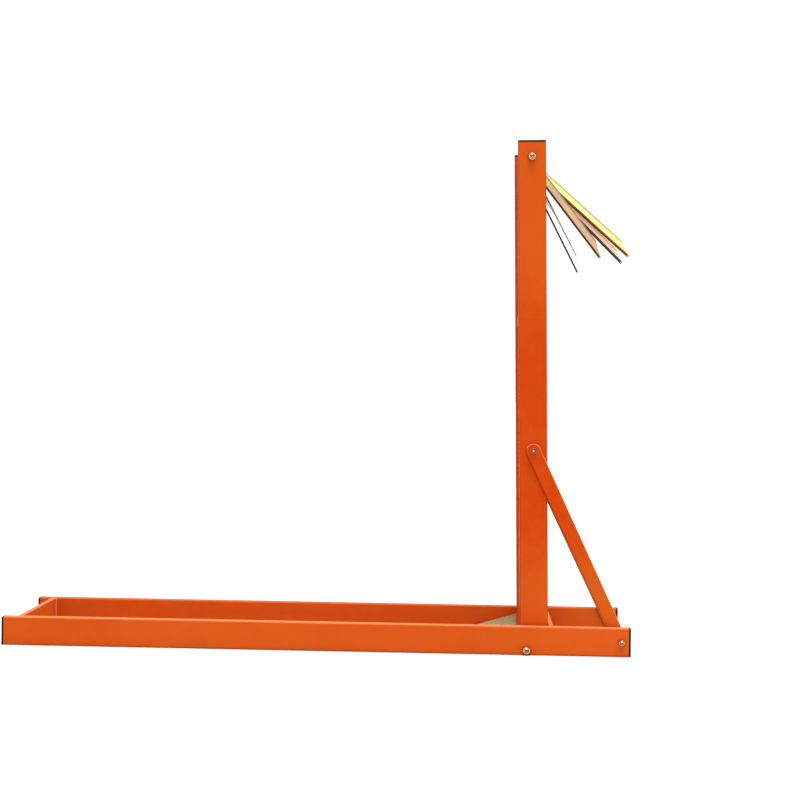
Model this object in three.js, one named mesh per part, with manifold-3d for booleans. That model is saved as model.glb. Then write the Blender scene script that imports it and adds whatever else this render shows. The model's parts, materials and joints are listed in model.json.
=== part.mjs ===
import * as THREE from "three";
import { mergeVertices } from "three/addons/utils/BufferGeometryUtils.js";
import Module from "manifold-3d";

const wasm = await Module();
wasm.setup();

// ---- driving dimensions, mm and degrees --------------------------------------------------
const LENGTH = 1130; // over the rail caps, along X
const RAIL_GAP = 250; // between the inner faces of the two rails
const TUBE_W = 50; // tall side of the rail tube, wide side of the post tube
const TUBE_T = 25; // narrow side of both tubes
const WALL = 2;
const CORNER = 2; // outer corner radius of the tubes
const CAP = 3.5; // thickness of the plastic caps outside the tube
const CAP_EDGE = 0.8; // bevel round a cap's face and round the end of its plug
const PLUG = 9; // how far a cap reaches into its tube
const PLUG_CORNER = 1.1;
const GAP = 0.3; // clearance between pieces that touch

const SLOT = 5; // space between a rail and its post, filled by the flat plates
const PLATE = 4.4; // thickness of the braces and gussets
const POST_X = 394.5; // centre of the posts at floor level
const POST_FOOT = 2; // the posts stop short of the floor
const POST_TOP = 917; // top of the post tube, along the post
const LEAN = 1.1; // the posts lean back over the long end of the base

const END_BAR_X = -535; // flat bar across the long end
const END_BAR_T = 10;
const STOP_X = 424; // flat bar that the posts lean away from
const STOP_T = 8;
const BAR_H = 40; // height of both, flush with the tops of the rails
const BAR_EDGE = 0.8; // rounding of their edges

const AXLE_UP = 890.5; // distances along the post
const BRACE_UP = 363;
const FOOT_UP = 9.2;
const FOOT_SIDE = -15; // foot bolt, to one side of the post centre
const BRACE_FOOT = [548.5, 25]; // X and Z of the lower brace bolt
const BRACE_W = 26;
const BRACE_TRIM = 1.5; // the lower end of a brace is this much tighter

const SEAT_TOP = 614; // what a log lies on
const SEAT_W = 40;
const SEAT_H = 25;

const GUSSET_TIP = 256; // X of its pointed end
const GUSSET_PAST = 21; // reach beyond the middle of the post
const GUSSET_TOP = 38.5; // where its edge meets the post
const GUSSET_LOW = 2;
const GUSSET_ROUND = 4; // rounding of its corners
const GUSSET_DROP = 1.3; // fall of its edge across the rounding
const GUSSET_NOSE = 2.4; // height of its blunt tip
const SCREW_SIDE = 11; // gusset screw, to one side of the post centre
const SCREW_UP = 24; // and along the post
const SCREW_R = 2.5;
const SCREW_HEAD = 4.9; // radius of its countersunk head
const SCREW_IN = 9; // how far it reaches into the post
const SCREW_SHY = 0.05; // how far its head lies below the plate's face

const CLAW_W = 28;
const CLAW_H = 13;
const CLAW_WALL = 3;
const CLAW_PITCH = 32;
const CLAW_BEND = 3.6; // outer bend radius of the claw channel
const CLAW_BEVEL = 20.5; // angle of the cut that makes the point
const CLAW_BACK = 11; // channel beyond the axle
const CLAW_BLUNT = 0.8;
const CLAW_BORE = 4.5; // radius of the loose hole on the axle
// front to back: length from the axle to the point, and angle below the horizontal
const CLAWS = [
  { name: "claw_front_short", reach: 218.5, down: 52.1 },
  { name: "claw_front_long", reach: 251, down: 41.5 },
  { name: "claw_rear_long", reach: 251, down: 44.7 },
  { name: "claw_rear_short", reach: 218.5, down: 62.8 },
];

const M8 = { d: 8, af: 13, nut: 6.5, head: 5.3, pitch: 1.25, washer: 16 };
const M6 = { d: 6, af: 10, nut: 5, head: 4, pitch: 1, washer: 12 };
const STICK_OUT = 2.7; // bolt end beyond its nut
const THREADED = 5; // modelled length of thread at a bolt end
const WASHER_T = 1.6;
const SLEEVE_R = 6.5; // outside of the axle sleeves
const RING_R = 9; // outside of the rings between the claws
const ROUND = 28; // facets round a bolt, a hole or a ring
const ARC = 5; // facets round a quarter of a tube corner

// ---- closed shapes from rings ------------------------------------------------------------
const rad = THREE.MathUtils.degToRad;

function roundedRing(a, b, r, z) {
  const ring = [];
  for (const [sx, sy, start] of [[1, 1, 0], [-1, 1, 90], [-1, -1, 180], [1, -1, 270]]) {
    for (let i = 0; i <= ARC; i++) {
      const t = rad(start + (90 * i) / ARC);
      const x = sx * (a / 2 - r) + r * Math.cos(t);
      const y = sy * (b / 2 - r) + r * Math.sin(t);
      ring.push(new THREE.Vector3(x, y, z));
    }
  }
  return ring;
}

function circleRing(r, z, n = ROUND) {
  const at = (i) => rad((360 * i) / n);
  return Array.from({ length: n }, (_, i) =>
    new THREE.Vector3(r * Math.cos(at(i)), r * Math.sin(at(i)), z));
}

function facing(points, index) {
  let volume = 0;
  const p = (k) => points[index[k]];
  for (let i = 0; i < index.length; i += 3) {
    volume += p(i).dot(new THREE.Vector3().crossVectors(p(i + 1), p(i + 2)));
  }
  if (volume < 0) index.reverse();
  const g = new THREE.BufferGeometry().setFromPoints(points);
  g.setIndex(index);
  return g;
}

function loft(rings, around = false) {
  const n = rings[0].length;
  const points = rings.flat();
  const index = [];
  const steps = around ? rings.length : rings.length - 1;
  for (let k = 0; k < steps; k++) {
    const a = k * n;
    const b = ((k + 1) % rings.length) * n;
    for (let i = 0; i < n; i++) {
      const j = (i + 1) % n;
      index.push(a + i, a + j, b + j, a + i, b + j, b + i);
    }
  }
  if (!around) {
    for (let i = 1; i < n - 1; i++) {
      const last = (rings.length - 1) * n;
      index.push(0, i + 1, i, last, last + i, last + i + 1);
    }
  }
  return facing(points, index);
}

function tube(a, b, wall, r, z0, z1) {
  const inner = Math.max(r - wall, 0.8);
  const outer = (z) => roundedRing(a, b, r, z);
  const bore = (z) => roundedRing(a - 2 * wall, b - 2 * wall, inner, z);
  return loft([outer(z0), outer(z1), bore(z1), bore(z0)], true);
}

function turned(profile) {
  return loft(profile.map(([r, z]) => circleRing(r, z)));
}

function ringOf(inner, outer, z0, z1, edge = 0.25) {
  const profile = [
    [inner, z0], [outer - edge, z0], [outer, z0 + edge],
    [outer, z1 - edge], [outer - edge, z1], [inner, z1],
  ];
  return loft(profile.map(([r, z]) => circleRing(r, z)), true);
}

// ---- booleans ----------------------------------------------------------------------------
function solid(geometry) {
  const bare = geometry.clone();
  for (const name of Object.keys(bare.attributes)) {
    if (name !== "position") bare.deleteAttribute(name);
  }
  const g = mergeVertices(bare, 1e-4);
  return new wasm.Manifold(new wasm.Mesh({
    numProp: 3,
    vertProperties: new Float32Array(g.attributes.position.array),
    triVerts: new Uint32Array(g.index.array),
  }));
}

function geometryOf(manifold) {
  const mesh = manifold.getMesh();
  const g = new THREE.BufferGeometry();
  g.setAttribute("position", new THREE.BufferAttribute(new Float32Array(mesh.vertProperties), 3));
  g.setIndex(new THREE.BufferAttribute(new Uint32Array(mesh.triVerts), 1));
  return g;
}

function cut(geometry, ...tools) {
  let body = solid(geometry);
  for (const tool of tools) body = body.subtract(solid(tool));
  return geometryOf(body);
}

const join = (a, b) => geometryOf(solid(a).add(solid(b)));
const common = (a, b) => geometryOf(solid(a).intersect(solid(b)));

// ---- placing -----------------------------------------------------------------------------
// local +Z becomes +X, +Y or -Y
const alongX = (g) => g.rotateY(Math.PI / 2);
const alongBack = (g) => g.rotateX(-Math.PI / 2);
const alongFront = (g) => g.rotateX(Math.PI / 2);
const pointing = (g, side) => (side > 0 ? alongBack(g) : alongFront(g));
const onPost = (g) => g.rotateY(-rad(LEAN)).translate(POST_X, 0, 0);

function postPoint(side, up) {
  const l = rad(LEAN);
  const x = POST_X + side * Math.cos(l) - up * Math.sin(l);
  return [x, side * Math.sin(l) + up * Math.cos(l)];
}

const hole = (r, [x, z], y0, y1) =>
  alongBack(turned([[r, y0], [r, y1]])).translate(x, 0, z);

// a flat outline in X and Z, with thickness between y0 and y1
function plate(shape, y0, y1) {
  const options = { depth: y1 - y0, bevelEnabled: false, curveSegments: ROUND / 2 };
  const g = new THREE.ExtrudeGeometry(shape, options);
  return g.rotateX(Math.PI / 2).translate(0, y1, 0);
}

function roundHole(shape, x, z, r) {
  shape.holes.push(new THREE.Path().absarc(x, z, r, 0, 2 * Math.PI, true));
}

// ---- assembly ----------------------------------------------------------------------------
const assembly = new THREE.Group();
assembly.name = "log_stand";

const FINISHES = {
  paint: { color: 0xdc5c1e, roughness: 0.4, metalness: 0 },
  zinc: { color: 0xd8c488, roughness: 0.35, metalness: 0.9 },
  bright: { color: 0xb9bab8, roughness: 0.35, metalness: 0.9 },
  plastic: { color: 0x17171a, roughness: 0.6, metalness: 0 },
};

function piece(name, geometry, finish) {
  const mesh = new THREE.Mesh(geometry, new THREE.MeshStandardMaterial(FINISHES[finish]));
  mesh.name = name;
  assembly.add(mesh);
}

const SIDES = [["front", -1], ["rear", 1]];
const RAIL_Y = RAIL_GAP / 2; // inner face of a rail
const OUTSIDE = RAIL_Y + TUBE_T; // outer face of a rail
const POST_OUT = RAIL_Y - SLOT; // post face next to the rail
const POST_IN = POST_OUT - TUBE_T; // post face next to the log
const RAIL_END = LENGTH / 2 - CAP;
const footBolt = postPoint(FOOT_SIDE, FOOT_UP);
const braceBolt = postPoint(0, BRACE_UP);
const axle = postPoint(0, AXLE_UP);
const screwAt = postPoint(SCREW_SIDE, SCREW_UP);
const clear = (m) => m.d / 2 + GAP;

// ---- fasteners, built head first along local +Z from the face they press on ----------------
// a hexagon whose corners may be turned off at 30 degrees at either end
function hexagon(af, z0, z1, bevelLow, bevelHigh) {
  const corner = af / Math.sqrt(3);
  const flat = 0.95 * af / 2;
  const wide = 1.05 * corner;
  const drop = (wide - flat) * Math.tan(rad(30));
  const prism = loft([circleRing(corner, z0, 6), circleRing(corner, z1, 6)]);
  const low = bevelLow ? [[flat, z0], [wide, z0 + drop]] : [[wide, z0]];
  const high = bevelHigh ? [[wide, z1 - drop], [flat, z1]] : [[wide, z1]];
  return common(prism, turned([...low, ...high]));
}

// radius and height of a thread's ridges, which end in a short taper
function thread(m, z0, z1) {
  const taper = 0.6;
  const root = m.d / 2 - 0.42 * m.pitch;
  const turns = Math.max(1, Math.floor((z1 - z0 - taper) / m.pitch));
  const step = (z1 - z0 - taper) / turns;
  const profile = [];
  for (let i = 0; i < turns; i++) {
    profile.push([root, z0 + step * (i + 0.08)], [m.d / 2, z0 + step * (i + 0.5)]);
  }
  profile.push([root, z1 - taper], [root - taper, z1]);
  return profile;
}

// the head lies at negative Z; the shank runs from 0 to its end
function hexBolt(m, reach, threaded) {
  const start = reach - threaded;
  const shank = turned([[m.d / 2, -1], [m.d / 2, start], ...thread(m, start, reach)]);
  return join(hexagon(m.af, -m.head, 0, true, false), shank);
}

const hexNut = (m) => cut(
  hexagon(m.af, 0, m.nut, true, true), turned([[clear(m), -1], [clear(m), m.nut + 1]]));

const washer = (m) => ringOf(clear(m), m.washer / 2, 0, WASHER_T);

// ---- base: two rails, their caps and the flat bars between them -------------------------------
// local +Z points out of the tube, whose end is at 0
function tubeCap() {
  const ring = (less, corner, z) =>
    roundedRing(TUBE_T - 2 * less, TUBE_W - 2 * less, corner, z);
  const inside = WALL + GAP;
  return loft([
    ring(inside + CAP_EDGE, PLUG_CORNER, -PLUG), ring(inside, PLUG_CORNER, -PLUG + 2 * CAP_EDGE),
    ring(inside, PLUG_CORNER, GAP), ring(0, CORNER, GAP),
    ring(0, CORNER, CAP - CAP_EDGE), ring(CAP_EDGE, CORNER - CAP_EDGE, CAP),
  ]);
}

for (const [side, s] of SIDES) {
  const y = s * (RAIL_Y + TUBE_T / 2);
  const body = alongX(tube(TUBE_W, TUBE_T, WALL, CORNER, -RAIL_END, RAIL_END))
    .translate(0, y, TUBE_W / 2);
  const through = [s * (RAIL_Y - 1), s * (OUTSIDE + 1)].sort((a, b) => a - b);
  const holes = [hole(clear(M8), footBolt, ...through), hole(clear(M6), BRACE_FOOT, ...through)];
  piece(`${side}_rail`, cut(body, ...holes), "paint");
  for (const [end, e] of [["left", -1], ["right", 1]]) {
    const cap = tubeCap().rotateZ(Math.PI / 2);
    const out = e > 0 ? alongX(cap) : alongX(cap).rotateZ(Math.PI);
    piece(`rail_cap_${side}_${end}`, out.translate(e * RAIL_END, y, TUBE_W / 2), "plastic");
  }
}

function crossBar(name, x, thick) {
  const reach = RAIL_Y - GAP;
  const ring = (y) => roundedRing(thick, BAR_H, BAR_EDGE, y);
  const bar = alongBack(loft([ring(-reach), ring(reach)]));
  piece(name, bar.translate(x, 0, TUBE_W - BAR_H / 2), "paint");
}
crossBar("end_cross_bar", END_BAR_X, END_BAR_T);
crossBar("post_stop_bar", STOP_X, STOP_T);

// ---- posts, their caps and the log seat ----------------------------------------------------
for (const [side, s] of SIDES) {
  const y = s * (POST_IN + TUBE_T / 2);
  const body = onPost(tube(TUBE_W, TUBE_T, WALL, CORNER, POST_FOOT, POST_TOP).translate(0, y, 0));
  const through = [s * (POST_IN - 1), s * (POST_OUT + 1)].sort((a, b) => a - b);
  const outerWall = [s * (POST_OUT - WALL - 1), s * (POST_OUT + 1)].sort((a, b) => a - b);
  const holes = [[footBolt, M8], [braceBolt, M6], [axle, M8]].map(([at, m]) => hole(clear(m), at, ...through));
  holes.push(hole(SCREW_R + GAP, screwAt, ...outerWall));
  piece(`${side}_post`, cut(body, ...holes), "paint");
  const cap = tubeCap().rotateZ(Math.PI / 2).translate(0, y, POST_TOP);
  piece(`${side}_post_cap`, onPost(cap), "plastic");
}
const seatReach = POST_IN - GAP;
const seatX = postPoint(0, SEAT_TOP - SEAT_H / 2)[0];
piece("log_seat", alongBack(
  tube(SEAT_W, SEAT_H, WALL, CORNER, -seatReach, seatReach),
).translate(seatX, 0, SEAT_TOP - SEAT_H / 2), "paint");

// ---- braces and gussets in the slot between rail and post ------------------------------------
function braceShape() {
  const [ax, az] = BRACE_FOOT;
  const [bx, bz] = braceBolt;
  const lean = Math.atan2(bz - az, bx - ax);
  const shape = new THREE.Shape();
  shape.absarc(bx, bz, BRACE_W / 2, lean - Math.PI / 2, lean + Math.PI / 2, false);
  shape.absarc(ax, az, BRACE_W / 2 - BRACE_TRIM, lean + Math.PI / 2, lean + 1.5 * Math.PI, false);
  shape.closePath();
  roundHole(shape, ax, az, clear(M6));
  roundHole(shape, bx, bz, clear(M6));
  return shape;
}

function gussetShape() {
  const left = POST_X - TUBE_W / 2;
  const right = POST_X + GUSSET_PAST;
  const r = GUSSET_ROUND;
  const shape = new THREE.Shape();
  shape.moveTo(GUSSET_TIP + r, GUSSET_LOW);
  shape.lineTo(right, GUSSET_LOW);
  shape.lineTo(right, GUSSET_TOP - r);
  shape.quadraticCurveTo(right, GUSSET_TOP, right - r, GUSSET_TOP);
  shape.lineTo(left + r, GUSSET_TOP);
  shape.quadraticCurveTo(left, GUSSET_TOP, left - r, GUSSET_TOP - GUSSET_DROP);
  shape.lineTo(GUSSET_TIP, GUSSET_LOW + GUSSET_NOSE);
  shape.quadraticCurveTo(GUSSET_TIP - GUSSET_NOSE / 2, GUSSET_LOW, GUSSET_TIP + r, GUSSET_LOW);
  roundHole(shape, ...footBolt, clear(M8));
  return shape;
}

for (const [side, s] of SIDES) {
  const span = [s * (POST_OUT + GAP), s * (POST_OUT + GAP + PLATE)].sort((a, b) => a - b);
  piece(`${side}_brace`, plate(braceShape(), ...span), "paint");
  // the countersunk head is wide on the rail side
  const face = POST_OUT + GAP + PLATE;
  const neck = face - (SCREW_HEAD - SCREW_R);
  const atScrew = (profile) => pointing(turned(profile), s).translate(screwAt[0], 0, screwAt[1]);
  const sink = atScrew([
    [SCREW_R + GAP, POST_OUT - 1], [SCREW_R + GAP, neck],
    [SCREW_HEAD + GAP, face], [SCREW_HEAD + GAP, face + 1],
  ]);
  piece(`${side}_gusset`, cut(plate(gussetShape(), ...span), sink), "zinc");
  piece(`${side}_gusset_screw`, atScrew([
    [SCREW_R / 2, POST_OUT - SCREW_IN], [SCREW_R, POST_OUT - SCREW_IN + SCREW_R],
    [SCREW_R, neck], [SCREW_HEAD - SCREW_SHY, face - SCREW_SHY],
  ]), "zinc");
}

// ---- bolts, nuts and washers -----------------------------------------------------------------
for (const [side, s] of SIDES) {
  const at = (g, [x, z], y) => pointing(g, s).translate(x, s * y, z);
  // foot bolt: head and washer on the log side of the post, nut outside the rail
  const headFace = POST_IN - 2 * GAP - WASHER_T;
  const footReach = OUTSIDE + GAP + M8.nut + STICK_OUT - headFace;
  piece(`${side}_foot_bolt`, at(hexBolt(M8, footReach, THREADED), footBolt, headFace), "zinc");
  piece(`${side}_foot_washer`, at(washer(M8), footBolt, POST_IN - GAP - WASHER_T), "zinc");
  piece(`${side}_foot_nut`, at(hexNut(M8), footBolt, OUTSIDE + GAP), "zinc");
  // upper brace bolt: head outside on the brace, washer and nut on the log side
  const outer = POST_OUT + 2 * GAP + PLATE;
  const inner = (g, y) => pointing(g, -s).translate(braceBolt[0], s * y, braceBolt[1]);
  const braceReach = outer - POST_IN + 2 * GAP + WASHER_T + M6.nut + STICK_OUT;
  piece(`${side}_brace_bolt`, inner(hexBolt(M6, braceReach, THREADED), outer), "zinc");
  piece(`${side}_brace_washer`, inner(washer(M6), POST_IN - GAP), "zinc");
  piece(`${side}_brace_nut`, inner(hexNut(M6), POST_IN - 2 * GAP - WASHER_T), "zinc");
  // lower brace bolt: head on the brace, nut outside the rail
  const lowReach = OUTSIDE + GAP + M6.nut + 2 - POST_OUT;
  piece(`${side}_brace_foot_bolt`, at(hexBolt(M6, lowReach, THREADED), BRACE_FOOT, POST_OUT), "zinc");
  piece(`${side}_brace_foot_nut`, at(hexNut(M6), BRACE_FOOT, OUTSIDE + GAP), "zinc");
}

// ---- axle with its spacers -------------------------------------------------------------------
const axleReach = 2 * (POST_OUT + GAP) + M8.nut + STICK_OUT;
piece("axle_bolt", alongFront(hexBolt(M8, axleReach, THREADED))
  .translate(axle[0], POST_OUT + GAP, axle[1]), "zinc");
piece("axle_nut", alongFront(hexNut(M8)).translate(axle[0], -POST_OUT - GAP, axle[1]), "zinc");

const stack = CLAW_PITCH * (CLAWS.length - 1) + CLAW_W; // claws and rings together
const onAxle = (g) => alongBack(g).translate(axle[0], 0, axle[1]);
for (const [side, s] of SIDES) {
  const ends = [s * (stack / 2 + GAP), s * (POST_IN - GAP)].sort((a, b) => a - b);
  piece(`${side}_axle_sleeve`, onAxle(ringOf(clear(M8), SLEEVE_R, ...ends)), "bright");
}
for (let i = 0; i < CLAWS.length - 1; i++) {
  const middle = -stack / 2 + CLAW_W + CLAW_PITCH * i + (CLAW_PITCH - CLAW_W) / 2;
  const half = (CLAW_PITCH - CLAW_W) / 2 - GAP;
  const ring = ringOf(clear(M8), RING_R, middle - half, middle + half);
  piece(`axle_ring_${i + 1}`, onAxle(ring), "bright");
}

// ---- claws: bent channels, open below, cut to a point ------------------------------------------
// channel section across Y and Z with its web on top, run along X
function channel(from, to) {
  const w = CLAW_W / 2;
  const h = CLAW_H / 2;
  const inside = Math.max(CLAW_BEND - CLAW_WALL, 0.6);
  const half = [[w, -h]];
  for (let i = 0; i <= ARC; i++) {
    const t = rad((90 * i) / ARC);
    half.push([w - CLAW_BEND + CLAW_BEND * Math.cos(t), h - CLAW_BEND + CLAW_BEND * Math.sin(t)]);
  }
  const core = [];
  for (let i = ARC; i >= 0; i--) {
    const t = rad((90 * i) / ARC);
    const [cy, cz] = [w - CLAW_WALL - inside, h - CLAW_WALL - inside];
    core.push([cy + inside * Math.cos(t), cz + inside * Math.sin(t)]);
  }
  core.push([w - CLAW_WALL, -h]);
  const mirror = (list) => list.map(([y, z]) => [-y, z]).reverse();
  const outline = [...half, ...mirror(half), ...mirror(core), ...core];
  const shape = new THREE.Shape(outline.map(([y, z]) => new THREE.Vector2(y, z)));
  const g = new THREE.ExtrudeGeometry(shape, { depth: to - from, bevelEnabled: false });
  return g.applyMatrix4(new THREE.Matrix4().makeBasis(
    new THREE.Vector3(0, 1, 0), new THREE.Vector3(0, 0, 1), new THREE.Vector3(1, 0, 0),
  )).translate(from, 0, 0);
}

// the outline that a claw is cut to: round behind the axle, bevelled to its point
function clawSide(reach) {
  const h = CLAW_H / 2;
  const beyond = h + 1; // outside the channel's faces
  const slope = 1 / Math.tan(rad(CLAW_BEVEL));
  const back = h - CLAW_BACK;
  const shape = new THREE.Shape();
  shape.moveTo(back, -beyond);
  shape.lineTo(reach, -beyond);
  shape.lineTo(reach, CLAW_BLUNT - h);
  shape.lineTo(reach - (beyond + h - CLAW_BLUNT) * slope, beyond);
  shape.lineTo(back, beyond);
  shape.absarc(back, 0, h, Math.PI / 2, 1.5 * Math.PI, false);
  shape.closePath();
  return plate(shape, -CLAW_W, CLAW_W);
}

CLAWS.forEach(({ name, reach, down }, i) => {
  const y = -stack / 2 + CLAW_W / 2 + CLAW_PITCH * i;
  const bore = hole(CLAW_BORE, [0, 0], -CLAW_W, CLAW_W);
  const body = common(channel(-CLAW_BACK, reach), clawSide(reach));
  piece(name, cut(body, bore).rotateY(rad(down)).translate(axle[0], y, axle[1]), "zinc");
});

export default assembly;
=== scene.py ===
"""A log holding sawhorse: the looks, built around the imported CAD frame. Lengths are metres."""

import json
import math

import bmesh
import bpy
from mathutils import Matrix, Vector


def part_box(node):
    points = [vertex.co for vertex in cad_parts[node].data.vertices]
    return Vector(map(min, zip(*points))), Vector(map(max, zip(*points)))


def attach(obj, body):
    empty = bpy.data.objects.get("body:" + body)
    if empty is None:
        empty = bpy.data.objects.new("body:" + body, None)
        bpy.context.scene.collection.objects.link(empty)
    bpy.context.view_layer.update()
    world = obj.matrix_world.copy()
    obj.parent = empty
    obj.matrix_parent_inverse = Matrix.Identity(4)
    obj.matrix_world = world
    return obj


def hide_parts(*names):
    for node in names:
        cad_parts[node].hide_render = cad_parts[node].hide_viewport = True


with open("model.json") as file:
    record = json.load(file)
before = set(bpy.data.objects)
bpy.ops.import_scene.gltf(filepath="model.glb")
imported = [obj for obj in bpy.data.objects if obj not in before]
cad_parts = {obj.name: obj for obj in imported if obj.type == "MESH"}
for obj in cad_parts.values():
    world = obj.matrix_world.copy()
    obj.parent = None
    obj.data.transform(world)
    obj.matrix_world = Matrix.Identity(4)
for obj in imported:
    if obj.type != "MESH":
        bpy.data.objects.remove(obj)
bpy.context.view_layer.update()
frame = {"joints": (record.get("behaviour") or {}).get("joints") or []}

# ---- dimensions that the frame's boxes don't give -----------------------------------------
MM = 0.001
WALL = 2 * MM
CORNER = 2 * MM  # outer corner radius of the tubes
CORNER_STEPS = 8
POST_WIDE = 50 * MM
LEAN = math.radians(1.1)
POST_FOOT = 2 * MM  # ends of the post tube, along the post
POST_TOP = 917 * MM
AXLE_UP = 890.5 * MM
CAP = 3.5 * MM
PLUG = 9 * MM
FIT = 0.3 * MM  # clearance between pieces

BAR_EDGE = 0.8 * MM  # rounding of the edges of the flat bars across the base
PLATE_EDGE = 1.2 * MM  # and of the braces
BRACE_W = 26 * MM
BRACE_END_TRIM = 1.5 * MM  # the lower end of a brace is this much tighter
GUSSET_TIP = 256 * MM
GUSSET_TOP = 38.5 * MM
GUSSET_LOW = 2 * MM
GUSSET_PAST = 21 * MM  # how far a gusset reaches beyond the middle of its post
GUSSET_ROUND = 4 * MM
GUSSET_DROP = 1.3 * MM
GUSSET_NOSE = 2.4 * MM
GUSSET_EDGE = 0.35 * MM
CURVE_STEPS = 6

CLAW_H = 13 * MM
CLAW_W = 28 * MM
CLAW_WALL = 3 * MM
CLAW_BEND = 3.6 * MM
CLAW_BEVEL = math.radians(20.5)
CLAW_BACK = 11 * MM
CLAW_BLUNT = 0.8 * MM
CLAW_BORE = 4.5 * MM
CLAW_EDGE = 0.35 * MM
CLAW_EDGE_STEPS = 2
CLAW_SIDE_STEPS = 10
CLAW_BEND_STEPS = 8
# from the axle to the point, and the angle below the horizontal at rest
CLAWS = {
    "claw_front_short": (218.5 * MM, 52.1),
    "claw_front_long": (251 * MM, 41.5),
    "claw_rear_long": (251 * MM, 44.7),
    "claw_rear_short": (218.5 * MM, 62.8),
}

M8 = {"d": 8 * MM, "af": 13 * MM, "nut": 6.5 * MM, "head": 5.3 * MM, "pitch": 1.25 * MM}
M6 = {"d": 6 * MM, "af": 10 * MM, "nut": 5 * MM, "head": 4 * MM, "pitch": 1 * MM}
THREAD_SHOWN = 7 * MM  # how much helical thread a bolt end gets
ROUND = 48

STAND = "stand"
PAINT = "orange_powder_coat"
YELLOW = "yellow_zinc"
BRIGHT = "bright_zinc"
PLASTIC = "black_plastic"
SIDES = (("front", -1), ("rear", 1))


# ---- material nodes -----------------------------------------------------------------------
# Noise scales are in cells per metre. The low and high of a span were set one by one.
def range_ends(low, high, to_low, to_high):
    """The four limits of a Map Range node, by the names of its sockets."""
    return {"From Min": low, "From Max": high, "To Min": to_low, "To Max": to_high}


class Shader:
    """Short calls for building one material's node tree."""

    def __init__(self, name):
        self.material = bpy.data.materials.new(name)
        self.material.use_nodes = True
        self.tree = self.material.node_tree
        self.bsdf = self.tree.nodes["Principled BSDF"]
        self.where = self.node("ShaderNodeTexCoord").outputs["Object"]
        self.facing = self.node("ShaderNodeNewGeometry").outputs["Normal"]

    def node(self, kind, **settings):
        made = self.tree.nodes.new(kind)
        for key, value in settings.items():
            setattr(made, key, value)
        return made

    def put(self, socket, value):
        if isinstance(value, bpy.types.NodeSocket):
            self.tree.links.new(value, socket)
        else:
            socket.default_value = value

    def set(self, name, value):
        self.put(self.bsdf.inputs[name], value)

    def stretched(self, scale):
        made = self.node("ShaderNodeMapping")
        self.put(made.inputs["Vector"], self.where)
        made.inputs["Scale"].default_value = scale
        return made.outputs["Vector"]

    def noise(self, scale, detail=3.0, rough=0.5, vector=None, distortion=0.0):
        made = self.node("ShaderNodeTexNoise")
        self.put(made.inputs["Vector"], vector or self.where)
        made.inputs["Scale"].default_value = scale
        made.inputs["Detail"].default_value = detail
        made.inputs["Roughness"].default_value = rough
        made.inputs["Distortion"].default_value = distortion
        return made.outputs["Fac"]

    def span(self, value, low, high, to_low=0.0, to_high=1.0):
        made = self.node("ShaderNodeMapRange", interpolation_type="SMOOTHSTEP")
        self.put(made.inputs["Value"], value)
        for key, number in range_ends(low, high, to_low, to_high).items():
            made.inputs[key].default_value = number
        return made.outputs["Result"]

    def math(self, operation, a, b=0.0):
        made = self.node("ShaderNodeMath", operation=operation)
        self.put(made.inputs[0], a)
        self.put(made.inputs[1], b)
        return made.outputs["Value"]

    def ramp(self, value, stops):
        made = self.node("ShaderNodeValToRGB")
        self.put(made.inputs["Fac"], value)
        elements = made.color_ramp.elements
        while len(elements) < len(stops):
            elements.new(0.5)
        for element, (place, colour) in zip(elements, stops):
            element.position = place
            element.color = (*colour, 1)
        return made.outputs["Color"]

    def mix(self, factor, a, b, blend="MIX"):
        made = self.node("ShaderNodeMix", data_type="RGBA", blend_type=blend)
        self.put(made.inputs["Factor"], factor)
        colour_in = [s for s in made.inputs if s.type == "RGBA"]
        self.put(colour_in[0], a if isinstance(a, bpy.types.NodeSocket) else (*a, 1))
        self.put(colour_in[1], b if isinstance(b, bpy.types.NodeSocket) else (*b, 1))
        return [s for s in made.outputs if s.type == "RGBA"][0]

    def bump(self, height, strength, distance, normal=None):
        made = self.node("ShaderNodeBump")
        self.put(made.inputs["Height"], height)
        made.inputs["Strength"].default_value = strength
        made.inputs["Distance"].default_value = distance
        if normal is not None:
            self.put(made.inputs["Normal"], normal)
        return made.outputs["Normal"]

    def split(self, vector):
        made = self.node("ShaderNodeSeparateXYZ")
        self.put(made.inputs["Vector"], vector)
        return made.outputs

    def place(self):
        return self.split(self.where)

    def upward(self, low, high):
        return self.span(self.split(self.facing)["Z"], low, high)

    def turning(self, low, high, to_low=0.0, to_high=1.0):
        """To_low where a face looks along an axis, to_high where an edge's rounding turns between two."""
        x, y, z = (self.math("ABSOLUTE", part) for part in self.split(self.facing))
        largest = self.math("MAXIMUM", self.math("MAXIMUM", x, y), z)
        return self.span(self.math("SUBTRACT", 1.0, largest), low, high, to_low, to_high)

    def edges(self, radius, low, high):
        """1 on sharp edges, 0 on flat faces, from how far a rounded normal turns away."""
        soft = self.node("ShaderNodeBevel", samples=4)
        soft.inputs["Radius"].default_value = radius
        dot = self.node("ShaderNodeVectorMath", operation="DOT_PRODUCT")
        self.put(dot.inputs[0], soft.outputs["Normal"])
        self.put(dot.inputs[1], self.facing)
        return self.span(dot.outputs["Value"], high, low)

    def recess(self, reach, low, high):
        """1 deep in a recess, 0 in the open."""
        near = self.node("ShaderNodeAmbientOcclusion", samples=6)
        near.inputs["Distance"].default_value = reach
        return self.span(near.outputs["AO"], low, high, 1.0, 0.0)


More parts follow.
